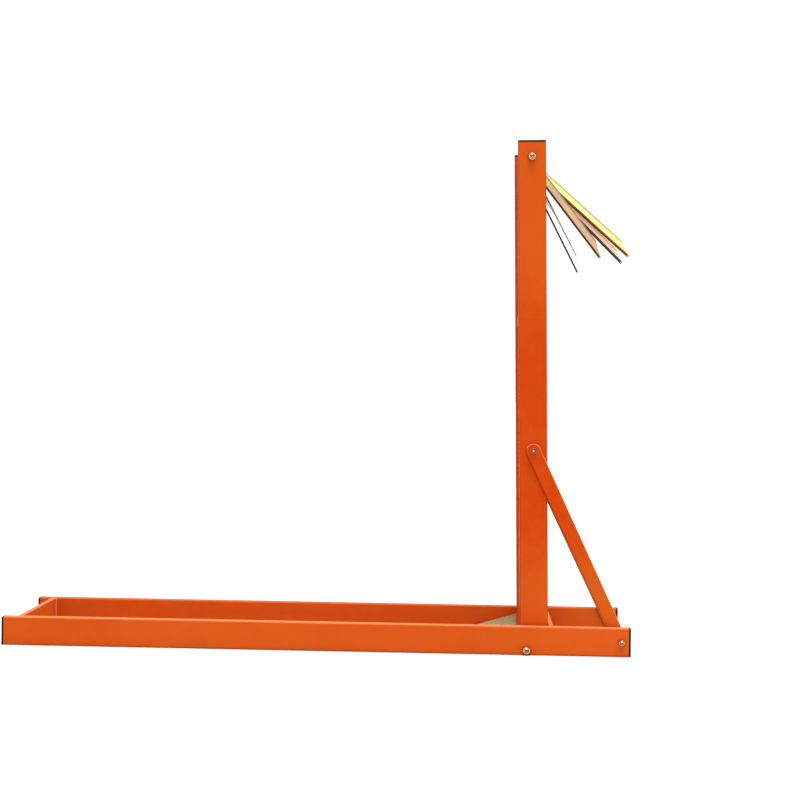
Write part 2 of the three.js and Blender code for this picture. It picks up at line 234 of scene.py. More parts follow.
# the coat's tones: along the base, beyond the posts, halfway up the posts, and in its faint clouds
COAT_AT_LONG_END = (0.478, 0.0690, 0.0068)
COAT_AT_POSTS = (0.528, 0.0790, 0.0086)
COAT_BEYOND_POSTS = (0.585, 0.0960, 0.0118)
COAT_UPRIGHT = (0.955, 0.93, 0.76)  # multiplies the tone of everything above the base
# painted shade over a whole piece
COAT_PIECE_SHADE = (0.435, 0.0450, 0.0050)
COAT_HALFWAY_UP = (0.470, 0.0400, 0.0018)
COAT_BROAD_CLOUDS = (0.465, 0.0500, 0.0040)
COAT_SMALL_CLOUDS = (0.56, 0.100, 0.012)
# and what dust with painted light on top, wear, painted shade on edges and in crevices, painted
# highlights and bare steel make of it
COAT_TOP_DUST_AND_LIGHT = (0.30, 0.18, 0.095)
COAT_RUBBED = (0.70, 0.20, 0.07)
COAT_EDGE_SHADE = (0.14, 0.018, 0.002)
COAT_LIT_EDGE = (0.85, 0.26, 0.13)
COAT_CREVICE_SHADE = (0.32, 0.020, 0.001)
COAT_HIGHLIGHT = (0.72, 0.20, 0.075)
BARE_STEEL = (0.16, 0.13, 0.115)


def powder_coat(name, piece_shade=0.0, far_end=COAT_BEYOND_POSTS, top_dust_and_light_tone=COAT_TOP_DUST_AND_LIGHT, painted_highlight=0.0, glint=0.0):
    """Orange powder coat. The number after the name paints shade over the whole piece, the number
    before glint paints a highlight over it all, and glint paints a highlight on the edges that face up."""
    s = Shader(name)
    x, z = (s.place()[axis] for axis in "XZ")
    broad = s.span(s.noise(5.0, 3.0), 0.35, 0.68)
    cloudy = s.span(s.noise(46.0, 5.0, 0.6), 0.40, 0.72)
    # the tone drifts along the stand, is palest beyond the posts, and is redder halfway up
    colour = s.mix(s.span(x, -0.6, 0.3), COAT_AT_LONG_END, COAT_AT_POSTS)
    colour = s.mix(s.span(x, 0.34, 0.56), colour, far_end)
    colour = s.mix(s.span(z, 0.06, 0.16), colour, COAT_UPRIGHT, "MULTIPLY")
    halfway = s.math("MULTIPLY", s.span(z, 0.10, 0.24), s.span(z, 0.52, 0.76, 1.0, 0.0))
    # painted shade over the whole piece, less of it beyond the posts
    colour = s.mix(s.span(x, 0.36, 0.50, piece_shade, 0.3 * piece_shade), colour, COAT_PIECE_SHADE)
    colour = s.mix(s.math("MULTIPLY", halfway, 0.9), colour, COAT_HALFWAY_UP)
    colour = s.mix(s.math("MULTIPLY", broad, 0.35), colour, COAT_BROAD_CLOUDS)
    colour = s.mix(s.math("MULTIPLY", cloudy, 0.14), colour, COAT_SMALL_CLOUDS)
    # dust, and painted light, on what faces up
    specks = s.span(s.noise(380.0, 4.0, 0.7), 0.50, 0.66)
    dust_and_top_light = s.math("MULTIPLY", s.upward(0.6, 0.98), s.span(specks, 0.0, 1.0, 0.36, 0.54))
    colour = s.mix(dust_and_top_light, colour, top_dust_and_light_tone)
    # rubbed streaks along X and Z, and chips through to the steel on the edges
    along = s.span(s.noise(1.0, 2.0, 0.5, s.stretched((14, 300, 620))), 0.725, 0.785)
    up = s.span(s.noise(1.0, 2.0, 0.5, s.stretched((700, 300, 11))), 0.74, 0.80)
    rubbed = s.math("MULTIPLY", s.math("MAXIMUM", along, up), 0.35)
    colour = s.mix(rubbed, colour, COAT_RUBBED)
    # painted shade darkens edges, most those that don't face up
    edge_shade = s.math("MULTIPLY", s.turning(0.04, 0.20),
                  s.span(s.split(s.facing)["Z"], 0.05, 0.25, 1.0, 0.7))
    colour = s.mix(s.math("MULTIPLY", edge_shade, 0.6), colour, COAT_EDGE_SHADE)
    bright = s.math("MULTIPLY", s.turning(0.04, 0.20), s.upward(0.10, 0.35))
    colour = s.mix(s.math("MULTIPLY", bright, glint), colour, COAT_LIT_EDGE)
    # and painted shade darkens crevices
    crevice_shade = s.math("MULTIPLY", s.recess(12 * MM, 0.30, 0.85), 0.35 * (1 - painted_highlight))
    colour = s.mix(crevice_shade, colour, COAT_CREVICE_SHADE)
    # a painted highlight over the whole piece
    colour = s.mix(painted_highlight, colour, COAT_HIGHLIGHT)
    worn = s.span(s.noise(150.0, 6.0, 0.65), 0.585, 0.63)
    chips = s.math("MULTIPLY", s.edges(1.1 * MM, 0.93, 0.985), worn)
    colour = s.mix(chips, colour, BARE_STEEL)
    s.set("Base Color", colour)
    s.set("Metallic", s.math("MULTIPLY", chips, 0.6))
    rough = s.span(s.noise(70.0, 4.0), 0.3, 0.75, 0.30, 0.42)
    s.set("Roughness", s.math("ADD", rough, s.math("MULTIPLY", dust_and_top_light, 0.6)))
    s.set("Specular IOR Level", s.math("MULTIPLY", s.turning(0.0, 0.05, 1.0, 0.0), 0.015))
    peel = s.noise(520.0, 2.0, 0.5)
    grain = s.noise(2600.0, 2.0, 0.5)
    bumps = s.bump(peel, 0.30, 0.12 * MM)
    bumps = s.bump(grain, 0.12, 0.03 * MM, bumps)
    s.set("Normal", s.bump(s.math("SUBTRACT", 1.0, chips), 0.35, 0.08 * MM, bumps))
    return s.material


ZINC_SPOTS = (0.34, 0.28, 0.18)
ZINC_RUBBED = (0.80, 0.78, 0.70)
ZINC_RECESS_SHADE = (0.045, 0.030, 0.014)


def plated(name, stops, rough_low=0.24, rough_high=0.38, metal=1.0, clouds=13.0):
    """Zinc plating: cloudy tints, fine rolling lines and handling marks. Less metal is a chalkier
    film, and a higher number of clouds makes them smaller."""
    s = Shader(name)
    film = s.noise(clouds, 3.0, 0.5, distortion=0.6)
    patches = s.noise(60.0, 4.0, 0.55, distortion=0.4)
    tint = s.math("ADD", s.math("MULTIPLY", film, 0.75), s.math("MULTIPLY", patches, 0.25))
    colour = s.ramp(s.span(tint, 0.28, 0.72), stops)
    spots = s.span(s.noise(330.0, 5.0, 0.7), 0.64, 0.76)
    colour = s.mix(s.math("MULTIPLY", spots, 0.22), colour, ZINC_SPOTS)
    rubbed = s.edges(0.8 * MM, 0.90, 0.985)
    colour = s.mix(s.math("MULTIPLY", rubbed, 0.35), colour, ZINC_RUBBED)
    # recesses get painted shade, and duller, less metallic plating
    recess_shade_and_dirt = s.math("MULTIPLY", s.recess(2.5 * MM, 0.2, 0.7), 0.8)
    colour = s.mix(recess_shade_and_dirt, colour, ZINC_RECESS_SHADE)
    s.set("Base Color", colour)
    s.set("Metallic", s.span(recess_shade_and_dirt, 0.0, 1.0, metal, 0.5 * metal))
    s.set("Specular IOR Level", 0.1)
    haze = s.span(s.noise(55.0, 5.0, 0.65), 0.3, 0.7, rough_low, rough_high)
    s.set("Roughness", s.math("ADD", haze, s.math("MULTIPLY", recess_shade_and_dirt, 0.3)))
    lines = s.noise(1.0, 3.0, 0.6, s.stretched((90, 2400, 90)))
    pits = s.noise(900.0, 3.0, 0.6)
    s.set("Normal", s.bump(pits, 0.08, 0.05 * MM, s.bump(lines, 0.10, 0.04 * MM)))
    return s.material


def moulded_plastic():
    s = Shader("moulded_plastic")
    scuffs = s.span(s.noise(1.0, 4.0, 0.6, s.stretched((260, 90, 620))), 0.60, 0.74)
    black, scuffed = (0.008, 0.008, 0.009), (0.045, 0.043, 0.041)
    s.set("Base Color", s.mix(s.math("MULTIPLY", scuffs, 0.4), black, scuffed))
    s.set("Roughness", s.span(s.noise(120.0, 4.0), 0.3, 0.7, 0.45, 0.62))
    s.set("Specular IOR Level", 0.015)
    s.set("Normal", s.bump(s.noise(1900.0, 2.0), 0.25, 0.05 * MM))
    return s.material


def pale_floor():
    s = Shader("pale_floor")
    s.set("Base Color", (0.42, 0.42, 0.42, 1))
    s.set("Roughness", 0.9)
    s.set("Specular IOR Level", 0.0)
    return s.material


def evenly(*colours):
    """Ramp stops at equal steps."""
    return [(i / (len(colours) - 1), colour) for i, colour in enumerate(colours)]


# the chromate film's tints, from thin to thick
FASTENER_TINTS = evenly((0.94, 0.64, 0.26), (0.97, 0.58, 0.28), (0.95, 0.50, 0.30), (0.93, 0.60, 0.34))
GUSSET_TINTS = evenly((0.39, 0.445, 0.12), (0.45, 0.39, 0.165), (0.51, 0.33, 0.25), (0.45, 0.44, 0.30))
CLAW_TINTS = {
    "claw_front_short": evenly(
        (0.46, 0.41, 0.16), (0.50, 0.34, 0.18), (0.48, 0.30, 0.20), (0.47, 0.34, 0.23)),
    "claw_front_long": evenly(
        (0.68, 0.65, 0.23), (0.74, 0.70, 0.27), (0.74, 0.63, 0.28), (0.72, 0.52, 0.28)),
    "claw_rear_long": evenly(
        (0.90, 0.66, 0.42), (0.95, 0.64, 0.50), (0.95, 0.61, 0.49), (0.88, 0.70, 0.54)),
    "claw_rear_short": evenly((0.86, 0.88, 0.80), (0.92, 0.94, 0.90), (0.88, 0.90, 0.85)),
}
CHALKY_CLAW, CHALKY_METAL = "claw_rear_long", 0.3
BRIGHT_TINTS = evenly((0.42, 0.44, 0.46), (0.50, 0.51, 0.51), (0.38, 0.40, 0.44))
# the painted shade inside each claw's channel and along the lower edges of its sides, and how far up its
# sides that reaches
CHANNEL_SHADES = {
    "claw_front_short": (evenly((0.050, 0.024, 0.014), (0.070, 0.034, 0.018)), 1.0 * MM),
    "claw_front_long": (evenly((0.190, 0.072, 0.005), (0.140, 0.052, 0.004)), 2.0 * MM),
    "claw_rear_long": (evenly((0.030, 0.020, 0.006), (0.045, 0.026, 0.008)), 2.0 * MM),
    "claw_rear_short": (evenly((0.040, 0.046, 0.026), (0.055, 0.060, 0.036)), 1.0 * MM),
}
# dark tints for painted shade on fasteners: on their ends, then on their sides and corners
END_SHADE_TINTS = evenly((0.13, 0.085, 0.024), (0.21, 0.125, 0.036))
SIDE_SHADE_TINTS = evenly((0.17, 0.095, 0.022), (0.15, 0.070, 0.018), (0.20, 0.095, 0.030))
MATERIALS = {
    PAINT: powder_coat("powder_coat"),
    YELLOW: plated("yellow_zinc_plating", FASTENER_TINTS),
    BRIGHT: plated("bright_zinc_plating", BRIGHT_TINTS, 0.26, 0.42),
    PLASTIC: moulded_plastic(),
}
# the rear rail and the rear post get painted shade, their faces that look up too
PIECE_SHADE_PAINT = powder_coat("powder_coat_shaded", 0.75, top_dust_and_light_tone=(0.055, 0.070, 0.045))
# the welds get a painted highlight
WELD_PAINT = powder_coat("powder_coat_weld", painted_highlight=0.7)
BRACE_PAINT = powder_coat("powder_coat_brace", far_end=(0.505, 0.1010, 0.0118), glint=0.85)
# a fastener's plain plating, its end darkened as painted shade, and its sides and corners darkened as
# painted shade
PLAIN, END, SIDE_SHADE = range(3)
ZINC_LOOKS = [
    MATERIALS[YELLOW],
    plated("end_shade_zinc", END_SHADE_TINTS, 0.45, 0.6),
    plated("side_shade_zinc", SIDE_SHADE_TINTS, 0.35, 0.5),
]


# ---- mesh building ------------------------------------------------------------------------
def rounded_ring(a, b, r, z, steps=CORNER_STEPS):
    ring = []
    for sx, sy, start in ((1, 1, 0), (-1, 1, 90), (-1, -1, 180), (1, -1, 270)):
        for i in range(steps + 1):
            t = math.radians(start + 90 * i / steps)
            x = sx * (a / 2 - r) + r * math.cos(t)
            y = sy * (b / 2 - r) + r * math.sin(t)
            ring.append(Vector((x, y, z)))
    return ring


def circle_ring(r, z, n=ROUND):
    angles = (2 * math.pi * i / n for i in range(n))
    return [Vector((r * math.cos(t), r * math.sin(t), z)) for t in angles]


def loft(rings, around=False):
    """A bmesh through equal rings; around joins the last ring to the first, else both ends close."""
    mesh = bmesh.new()
    rows = [[mesh.verts.new(p) for p in ring] for ring in rings]
    n = len(rings[0])
    pairs = list(zip(rows, rows[1:] + rows[:1] if around else rows[1:]))
    for low, high in pairs:
        for i in range(n):
            j = (i + 1) % n
            mesh.faces.new((low[i], low[j], high[j], high[i]))
    if not around:
        mesh.faces.new(reversed(rows[0]))
        mesh.faces.new(rows[-1])
    bmesh.ops.recalc_face_normals(mesh, faces=mesh.faces)
    return mesh


def inset(points, distance):
    """A convex outline moved inwards."""
    moved = []
    for i, here in enumerate(points):
        before = Vector(here) - Vector(points[i - 1])
        after = Vector(points[(i + 1) % len(points)]) - Vector(here)
        a, b = (Vector((-d.y, d.x)).normalized() for d in (before, after))
        middle = (a + b).normalized()
        moved.append(Vector(here) + middle * (distance / middle.dot(a)))
    return moved


def plate(outline, holes, y0, y1, edge, steps=3):
    """A flat plate with rounded edges: a convex outline in X and Z, and holes as x, z and radius."""
    mesh = bmesh.new()
    profile = [math.pi / 2 * i / steps for i in range(steps + 1)]
    levels = [(edge * (1 - math.sin(t)), y0 + edge * (1 - math.cos(t))) for t in profile]
    levels += [(less, y1 - (y - y0)) for less, y in reversed(levels)]
    bands = [[(inset(outline, less), y) for less, y in levels]]
    for x, z, r in holes:
        bands.append([([Vector(p) for p in circle(x, z, r + less)], y) for less, y in levels])
    bands = [[[mesh.verts.new((p.x, y, p.y)) for p in points] for points, y in band] for band in bands]
    for band in bands:
        for low, high in zip(band, band[1:]):
            for i in range(len(low)):
                j = (i + 1) % len(low)
                mesh.faces.new((low[i], low[j], high[j], high[i]))
    for level in (0, -1):
        rims = [band[level] for band in bands]
        edges = [mesh.edges.get((rim[i - 1], rim[i])) for rim in rims for i in range(len(rim))]
        bmesh.ops.triangle_fill(mesh, edges=edges, use_beauty=True)
    bmesh.ops.recalc_face_normals(mesh, faces=mesh.faces)
    return mesh


def shade(data, angle):
    for polygon in data.polygons:
        polygon.use_smooth = True
    data.set_sharp_from_angle(angle=math.radians(angle))


def made(name, mesh, place=None):
    data = bpy.data.meshes.new(name)
    if place is not None:
        mesh.transform(place)
    mesh.to_mesh(data)
    mesh.free()
    obj = bpy.data.objects.new(name, data)
    bpy.context.scene.collection.objects.link(obj)
    return obj


def settle(obj):
    """Turns the modifiers' result into the object's own mesh."""
    graph = bpy.context.evaluated_depsgraph_get()
    data = bpy.data.meshes.new_from_object(obj.evaluated_get(graph))
    obj.modifiers.clear()
    old, obj.data = obj.data, data
    data.name = obj.name
    bpy.data.meshes.remove(old)


def drill(obj, *cutters):
    for cutter in cutters:
        cut = obj.modifiers.new("hole", "BOOLEAN")
        cut.operation = "DIFFERENCE"
        cut.solver = "EXACT"
        cut.object = cutter
    settle(obj)
    for cutter in cutters:
        bpy.data.objects.remove(cutter)


def round_cutter(radius, x, z, y0, y1):
    return made("cutter", loft([circle_ring(radius, y0), circle_ring(radius, y1)]),
                Matrix.Translation((x, 0, z)) @ TO_REAR)


def finished(obj, slot, node=None, body=STAND, angle=32, looks=None):
    """Smooths a piece's shading and gives it its materials, the slot's own unless looks are given; hides
    the CAD node that it stands for and parents it to the body that it rides on.
    """
    shade(obj.data, angle)
    obj.modifiers.new("flat_faces_stay_flat", "WEIGHTED_NORMAL").keep_sharp = True
    settle(obj)
    obj.data.materials.clear()
    for material in looks or [MATERIALS[slot]]:
        obj.data.materials.append(material)
    if node:
        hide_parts(node)
    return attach(obj, body)


TO_REAR = Matrix.Rotation(-math.pi / 2, 4, "X")  # local +Z becomes +Y
TO_FRONT = Matrix.Rotation(math.pi / 2, 4, "X")
TO_RIGHT = Matrix.Rotation(math.pi / 2, 4, "Y")
TO_LEFT = Matrix.Rotation(-math.pi / 2, 4, "Y")


def toward(side):
    return TO_REAR if side > 0 else TO_FRONT


def centre(node):
    low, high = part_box(node)
    return (low + high) / 2


# the line of the posts: leaning, through the axle
axle = Vector(frame["joints"][0]["pos_m"])
POST_X = axle.x + AXLE_UP * math.sin(LEAN)
ON_POST = Matrix.Translation((POST_X, 0, 0)) @ Matrix.Rotation(-LEAN, 4, "Y")
foot_bolt = centre("front_foot_bolt")
brace_bolt = centre("front_brace_bolt")
brace_foot = centre("front_brace_foot_bolt")
gusset_screw = centre("front_gusset_screw")
clear = {8: 4.3 * MM, 6: 3.3 * MM, 5: 2.8 * MM}  # hole radius for each bolt size


# ---- tubes --------------------------------------------------------------------------------
def tube(a, b, z0, z1):
    """Rectangular tube with rounded corners and lightly broken ends."""
    inner = max(CORNER - WALL, 0.8 * MM)
    lip = 0.35 * MM

    def outer(z, less=0.0):
        return rounded_ring(a - 2 * less, b - 2 * less, CORNER - less, z)

    def bore(z, more=0.0):
        return rounded_ring(a - 2 * WALL + 2 * more, b - 2 * WALL + 2 * more, inner + more, z)

    return loft([
        outer(z0, lip), outer(z0 + lip), outer(z1 - lip), outer(z1, lip),
        bore(z1, lip / 2), bore(z1 - lip), bore(z0 + lip), bore(z0, lip / 2),
    ], around=True)


def base_rails():
    for side, _ in SIDES:
        low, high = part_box(f"{side}_rail")
        middle = (low + high) / 2
        size = high - low
        place = Matrix.Translation(middle) @ TO_RIGHT
        rail = made(f"{side}_rail_tube", tube(size.z, size.y, -size.x / 2, size.x / 2), place)
        y0, y1 = low.y - MM, high.y + MM
        drill(rail, round_cutter(clear[8], foot_bolt.x, foot_bolt.z, y0, y1),
              round_cutter(clear[6], brace_foot.x, brace_foot.z, y0, y1))
        # the rear rail gets painted shade
        finished(rail, PAINT, f"{side}_rail", looks=[PIECE_SHADE_PAINT] if side == "rear" else None)


def posts():
    for side, s in SIDES:
        low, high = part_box(f"{side}_post")
        body = tube(POST_WIDE, high.y - low.y, POST_FOOT, POST_TOP)
        place = ON_POST @ Matrix.Translation((0, (low.y + high.y) / 2, 0))
        post = made(f"{side}_post_tube", body, place)
        y0, y1 = low.y - MM, high.y + MM
        bolts = ((8, foot_bolt), (6, brace_bolt), (8, axle))
        holes = [round_cutter(clear[d], at.x, at.z, y0, y1) for d, at in bolts]
        outer_wall = (y0, low.y + WALL + MM) if s < 0 else (high.y - WALL - MM, y1)
        holes.append(round_cutter(clear[5], gusset_screw.x, gusset_screw.z, *outer_wall))
        drill(post, *holes)
        # the rear post gets painted shade
        finished(post, PAINT, f"{side}_post", looks=[PIECE_SHADE_PAINT] if side == "rear" else None)


def log_seat():
    low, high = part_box("log_seat")
    size = high - low
    place = Matrix.Translation((low + high) / 2) @ TO_REAR
    seat = made("log_seat_tube", tube(size.x, size.z, -size.y / 2, size.y / 2), place)
    finished(seat, PAINT, "log_seat")


def cross_bars():
    for node in ("end_cross_bar", "post_stop_bar"):
        low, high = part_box(node)
        size = high - low
        rings = [rounded_ring(size.x, size.z, BAR_EDGE, z, 4) for z in (-size.y / 2, size.y / 2)]
        bar = made(f"{node}_flat", loft(rings), Matrix.Translation((low + high) / 2) @ TO_REAR)
        finished(bar, PAINT, node)


# ---- plastic caps -------------------------------------------------------------------------
RIBS = (-7.0, -4.0)  # along the plug, in millimetres from the tube's end
RIM_STEPS = 6


def cap_mesh(a, b):
    """A tube plug with a plate outside: crowned face, rounded rim and sealing ribs on the plug."""
    rings = []
    inside = WALL + FIT
    under_ribs = inside + 0.6 * MM

    def ring(less, r, z):
        rings.append(rounded_ring(a - 2 * less, b - 2 * less, r, z))

    ring(inside + 1.2 * MM, 0.8 * MM, -PLUG)
    ring(under_ribs, 1.0 * MM, -PLUG + 1.2 * MM)
    for rib in RIBS:
        ring(under_ribs, 1.0 * MM, (rib - 0.5) * MM)
        ring(inside, 1.2 * MM, rib * MM)
        ring(inside, 1.2 * MM, (rib + 0.6) * MM)
        ring(under_ribs, 1.0 * MM, (rib + 0.9) * MM)
    ring(under_ribs, 1.0 * MM, FIT)
    ring(0.25 * MM, CORNER - 0.25 * MM, FIT)
    ring(0, CORNER, FIT + 0.3 * MM)
    rim = 0.6 * MM
    for i in range(RIM_STEPS + 1):
        t = math.pi / 2 * i / RIM_STEPS
        less = rim * (1 - math.cos(t))
        ring(less, CORNER - 0.6 * less, CAP - 0.25 * MM - rim + rim * math.sin(t))
    ring(3.0 * MM, 1.6 * MM, CAP - 0.05 * MM)
    ring(6.0 * MM, 1.2 * MM, CAP)
    return loft(rings)


def caps():
    for side, _ in SIDES:
        for end, turn, e in (("left", TO_LEFT, -1), ("right", TO_RIGHT, 1)):
            node = f"rail_cap_{side}_{end}"
            rail_low, rail_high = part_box(f"{side}_rail")
            size = rail_high - rail_low
            at = (rail_low + rail_high) / 2 + Vector((e * size.x / 2, 0, 0))
            cap = made(f"{node}_moulding", cap_mesh(size.z, size.y), Matrix.Translation(at) @ turn)
            finished(cap, PLASTIC, node)
        node = f"{side}_post_cap"
        low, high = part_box(f"{side}_post")
        at = Matrix.Translation((0, (low.y + high.y) / 2, POST_TOP))
        cap = made(f"{node}_moulding", cap_mesh(POST_WIDE, high.y - low.y), ON_POST @ at)
        finished(cap, PLASTIC, node)


# ---- flat bars ----------------------------------------------------------------------------
def arc(x, z, r, start, end, steps=24):
    return [(x + r * math.cos(t), z + r * math.sin(t))
            for t in (start + (end - start) * i / steps for i in range(steps + 1))]


def circle(x, z, r, n=ROUND):
    return arc(x, z, r, 0, 2 * math.pi * (n - 1) / n, n - 1)


def braces():
    tilt = math.atan2(brace_bolt.z - brace_foot.z, brace_bolt.x - brace_foot.x)
    top = arc(brace_bolt.x, brace_bolt.z, BRACE_W / 2, tilt - math.pi / 2, tilt + math.pi / 2)
    bottom = arc(brace_foot.x, brace_foot.z, BRACE_W / 2 - BRACE_END_TRIM,
                 tilt + math.pi / 2, tilt + 1.5 * math.pi)
    holes = [(at.x, at.z, clear[6]) for at in (brace_foot, brace_bolt)]
    for side, _ in SIDES:
        low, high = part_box(f"{side}_brace")
        bar = made(f"{side}_brace_bar", plate(top + bottom, holes, low.y, high.y, PLATE_EDGE))
        finished(bar, PAINT, f"{side}_brace", looks=[BRACE_PAINT])


def curve_through(a, corner, b):
    """A rounded corner as a quadratic curve from a to b."""
    points = []
    for i in range(CURVE_STEPS + 1):
        t = i / CURVE_STEPS
        u, v, w = (1 - t) ** 2, 2 * t * (1 - t), t * t
        points.append(tuple(u * p + v * q + w * r for p, q, r in zip(a, corner, b)))
    return points


def gussets():
    left = POST_X - POST_WIDE / 2
    right = POST_X + GUSSET_PAST
    r = GUSSET_ROUND
    outline = [(GUSSET_TIP + r, GUSSET_LOW), (right, GUSSET_LOW)]
    outline += curve_through((right, GUSSET_TOP - r), (right, GUSSET_TOP), (right - r, GUSSET_TOP))
    bend_end = (left - r, GUSSET_TOP - GUSSET_DROP)
    outline += curve_through((left + r, GUSSET_TOP), (left, GUSSET_TOP), bend_end)
    nose = (GUSSET_TIP - GUSSET_NOSE / 2, GUSSET_LOW)
    nose_top = (GUSSET_TIP, GUSSET_LOW + GUSSET_NOSE)
    outline += curve_through(nose_top, nose, (GUSSET_TIP + r, GUSSET_LOW))[:-1]
    holes = [(foot_bolt.x, foot_bolt.z, clear[8])]
    plating = plated("gusset_plating", GUSSET_TINTS, clouds=42.0)
    for side, s in SIDES:
        low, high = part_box(f"{side}_gusset")
        gusset = made(f"{side}_gusset_plate", plate(outline, holes, low.y, high.y, GUSSET_EDGE, 2))
        face = high.y if s > 0 else -low.y
        sink = loft([circle_ring(r, z) for r, z in (
            (clear[5], face - 6 * MM), (clear[5], face - 2.4 * MM),
            (5.2 * MM, face), (5.2 * MM, face + MM))])
        at = Matrix.Translation((gusset_screw.x, 0, gusset_screw.z)) @ toward(s)
        drill(gusset, made("cutter", sink, at))
        finished(gusset, YELLOW, f"{side}_gusset", looks=[plating])
        gusset_screws(side, s, face, at)


def gusset_screws(side, s, face, at):
    profile = [(1.2, -13.4), (1.9, -12.4), (2.5, -11.2), (2.5, -2.4), (4.7, -0.2), (4.7, -0.05)]
    rings = [circle_ring(r * MM, face + z * MM) for r, z in profile]
    rings += [star_ring(z, face) for z in (-0.05, -1.6)]
    screw = made(f"{side}_gusset_screw_head", loft(rings), at)
    finished(screw, YELLOW, f"{side}_gusset_screw")


def star_ring(z, face):
    """The six-lobed socket of a countersunk screw."""
    ring = []
    for i in range(ROUND):
        t = 2 * math.pi * i / ROUND
        r = (2.15 + 0.30 * math.cos(6 * t)) * MM
        ring.append(Vector((r * math.cos(t), r * math.sin(t), face + z * MM)))
    return ring


# ---- bolts, nuts, washers and sleeves --------------------------------------------------------
HEX_STEPS = 96
HEX_FLAT = 0.95  # the circle left flat on a hexagon's end, as a share of its width
HEX_SLOPE = math.tan(math.radians(30))
NUT_UNSHADED = 0.455  # radius inside which a nut's face gets no painted shade, as a share of its width
# a thread's depth, half the width of its groove and the length of its tapered tip, as shares of the pitch
THREAD_DEPTH = 0.6
THREAD_GROOVE = 0.42
THREAD_TIP = 0.9
THREAD_TIP_SLOPE = 0.75  # how fast the tip narrows
THREAD_STEPS = 12  # rings in each turn
RING_EDGE = 0.3 * MM
RING_EDGE_STEPS = 3
RING_STEPS = 64


def hex_radius(t, af):
    sector = math.pi / 3
    return af / 2 / math.cos((t + sector / 2) % sector - sector / 2)


def hex_rings(af, z0, z1, low_cone, high_cone):
    """Two rings round a hexagon whose ends are turned off at 30 degrees, and the flat circles beyond."""
    flat = HEX_FLAT * af / 2
    low, high = [], []
    for i in range(HEX_STEPS):
        t = 2 * math.pi * i / HEX_STEPS
        r = hex_radius(t, af)
        drop = (r - flat) * HEX_SLOPE
        x, y = r * math.cos(t), r * math.sin(t)
        low.append(Vector((x, y, z0 + (drop if low_cone else 0))))
        high.append(Vector((x, y, z1 - (drop if high_cone else 0))))
    rings = [low, high]
    if low_cone:
        rings.insert(0, circle_ring(flat, z0, HEX_STEPS))
    if high_cone:
        rings.append(circle_ring(flat, z1, HEX_STEPS))
    return rings


def thread_rings(m, z0, z1):
    """Rings whose radius follows a helix, fading in at z0 and tapered off at z1."""
    r = m["d"] / 2
    pitch = m["pitch"]
    count = int((z1 - z0) / (pitch / THREAD_STEPS))
    rings = []
    for k in range(count + 1):
        z = z0 + (z1 - z0) * k / count
        fade = min(1.0, (z - z0) / pitch)
        taper = max(0.0, z - (z1 - THREAD_TIP * pitch))
        ring = []
        for i in range(HEX_STEPS):
            t = 2 * math.pi * i / HEX_STEPS
            phase = (z / pitch - t / (2 * math.pi)) % 1.0
            groove = max(0.0, 1 - abs(phase - 0.5) / THREAD_GROOVE)
            here = min(r - THREAD_DEPTH * pitch * groove * fade, r - THREAD_TIP_SLOPE * taper)
            ring.append(Vector((here * math.cos(t), here * math.sin(t), z)))
        rings.append(ring)
    return rings


def bolt_mesh(m, reach):
    """Head at negative Z, shank from 0 to reach, threaded at its end."""
    head = m["head"]
    af = m["af"]
    dish = ((0.13, 0.25), (0.30, 0.25), (0.36, 0))  # share of the width, and depth in millimetres
    rings = [circle_ring(r * af, -head + z * MM, HEX_STEPS) for r, z in dish]
    rings += hex_rings(af, -head, 0, True, False)
    rings.append(circle_ring(m["d"] / 2 + 0.3 * MM, 0, HEX_STEPS))
    rings.append(circle_ring(m["d"] / 2, 0.3 * MM, HEX_STEPS))
    rings.append(circle_ring(m["d"] / 2, reach - THREAD_SHOWN - 0.2 * MM, HEX_STEPS))
    rings += thread_rings(m, reach - THREAD_SHOWN, reach)
    hollow = ((0.22, 0), (0.16, 0.05), (0.05, 0.14))  # of the sheared end, as shares of the diameter
    rings += [circle_ring(r * m["d"], reach - z * m["d"], HEX_STEPS) for r, z in hollow]
    return loft(rings)


def nut_mesh(m):
    bore = m["d"] / 2 + FIT
    height = m["nut"]
    lead = 0.7 * MM
    rings = hex_rings(m["af"], 0, height, True, True)
    rings.append(circle_ring(NUT_UNSHADED * m["af"], height, HEX_STEPS))
    rings += [circle_ring(r, z, HEX_STEPS) for r, z in (
        (bore + lead, height), (bore, height - lead), (bore, lead), (bore + lead, 0))]
    return loft(rings, around=True)


def ring_mesh(inner, outer, height):
    edge = RING_EDGE
    z0, z1 = 0, height
    quarter = [math.pi / 2 * i / RING_EDGE_STEPS for i in range(RING_EDGE_STEPS + 1)]
    profile = [(inner + edge / 2, z0)]
    profile += [(outer - edge + edge * math.sin(t), z0 + edge - edge * math.cos(t)) for t in quarter]
    profile += [(outer - edge + edge * math.cos(t), z1 - edge + edge * math.sin(t)) for t in quarter]
    profile += [(inner + edge / 2, z1), (inner, z1 - edge / 2), (inner, z0 + edge / 2)]
    return loft([circle_ring(r, z, RING_STEPS) for r, z in profile], around=True)


def fastener(node, mesh, turn, y, suffix, slot=YELLOW, paint=None):
    """Places a turned piece; paint gives each face's material from its place along and off the axis."""
    at = centre(node)
    obj = made(f"{node}_{suffix}", mesh)
    finished(obj, slot, node, angle=28, looks=ZINC_LOOKS if paint else None)
    if paint:
        for face in obj.data.polygons:
            face.material_index = paint(face.center.z, face.center.xy.length)
    obj.data.transform(Matrix.Translation((at.x, y, at.z)) @ turn)


